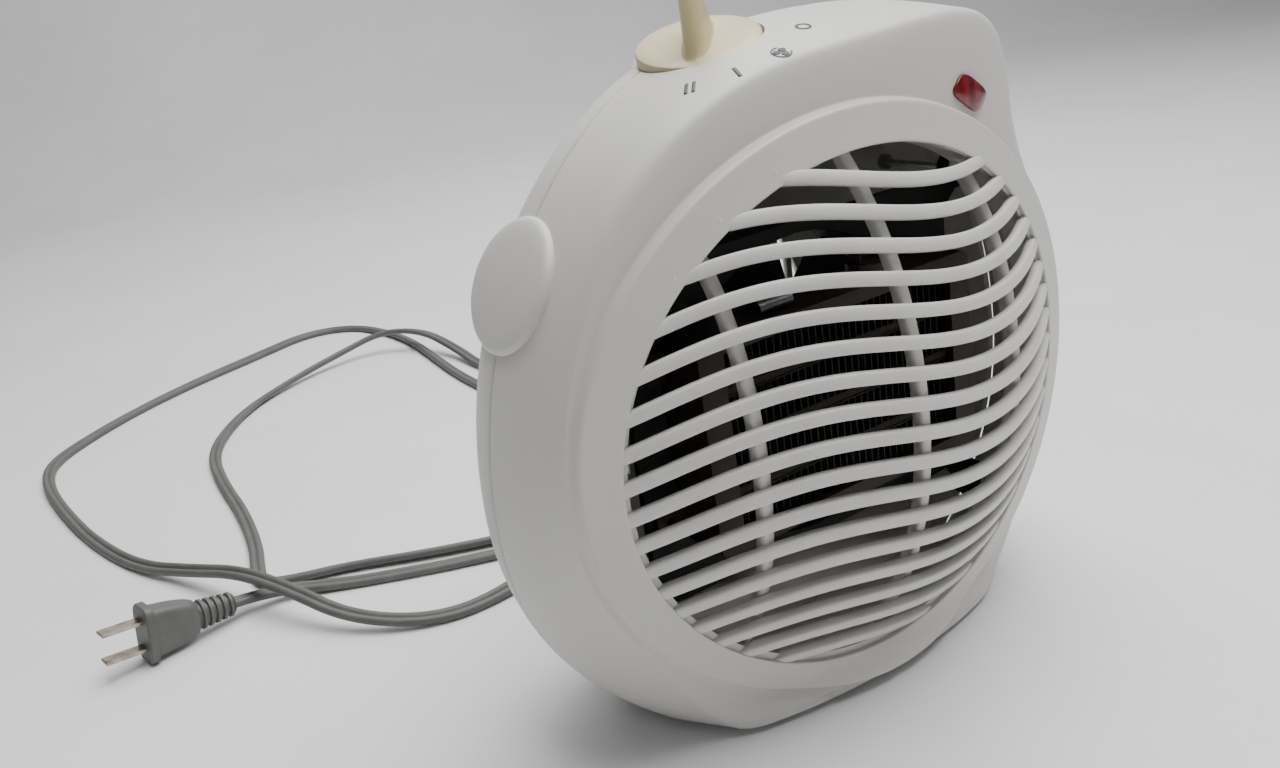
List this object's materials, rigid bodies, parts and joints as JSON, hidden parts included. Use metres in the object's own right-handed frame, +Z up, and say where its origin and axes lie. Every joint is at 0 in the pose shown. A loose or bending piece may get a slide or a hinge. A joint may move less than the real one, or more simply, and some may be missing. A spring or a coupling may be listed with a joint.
{
  "type": "ceramic fan heater",
  "caption": "Upright round fan heater with a domed wavy grille, flat base, top dial, side caps, lamp and a plug-in cord.",
  "frame": {"origin": "on the floor under the middle of the body, without its cord", "axes": "+Z up, -Y out of the grille towards the user, +X to the right of a user who faces the grille"},
  "size_m": [0.352, 0.6859, 0.2557],
  "materials": {
    "housing_white": "fine satin, warm white moulding",
    "grille_white": "satin",
    "cream_knob": "satin, slightly yellowed",
    "red_lens": "gloss, see-through dark red",
    "switch_black": "matt",
    "phenolic_brown": "matt, heat-resistant",
    "duct_grey": "matt, heat-resistant",
    "element_fins": "dull",
    "element_ceramic": "matt",
    "impeller_plastic": "satin",
    "zinc_steel": "zinc plated",
    "lamination": "varnished stampings",
    "coil_wrap": "taped",
    "bush_bronze": "sintered",
    "glass_lamp": "clear",
    "foot_rubber": "matt",
    "cord_grey": "soft vinyl",
    "blade_brass": "nickel plated, tarnished"
  },
  "bodies": {
    "housing": {"front_shell": "housing_white", "rear_shell": "housing_white", "front_grille": "grille_white", "switch_body": "switch_black", "switch_tabs": "blade_brass", "side_cap_left": "housing_white", "side_cap_right": "housing_white", "indicator_lens": "red_lens", "neon_lamp": "glass_lamp", "fin_packs": "element_fins", "ceramic_strips": "element_ceramic", "element_frame": "phenolic_brown", "fan_duct": "duct_grey", "motor_stack": "lamination", "motor_coil": "coil_wrap", "front_bush": "bush_bronze", "rear_bush": "bush_bronze", "front_bearing_plate": "zinc_steel", "rear_bearing_plate": "zinc_steel", "motor_spacers": "zinc_steel", "motor_screws": "zinc_steel", "thermal_cutout": "phenolic_brown", "thermal_fuse": "zinc_steel", "rubber_feet": "foot_rubber", "case_screws": "zinc_steel", "cord_gland": "cord_grey", "power_cord": "cord_grey", "plug_body": "cord_grey", "plug_blades": "blade_brass"},
    "knob": {"function_knob": "cream_knob", "switch_shaft": "zinc_steel"},
    "fan": {"fan_impeller": "impeller_plastic", "motor_shaft": "zinc_steel", "motor_rotor": "lamination"}
  },
  "joints": [
    {"name": "knob_turn", "type": "hinge", "parent": "housing", "child": "knob", "pos_m": [-0.0216, 0.00725, 0.224], "axis": [-0.2079, -0.2079, 0.9558], "range_deg": [0, 99]},
    {"name": "fan_spin", "type": "hinge", "parent": "housing", "child": "fan", "pos_m": [0, 0, 0.104], "axis": [0, 1, 0], "continuous": true}
  ]
}
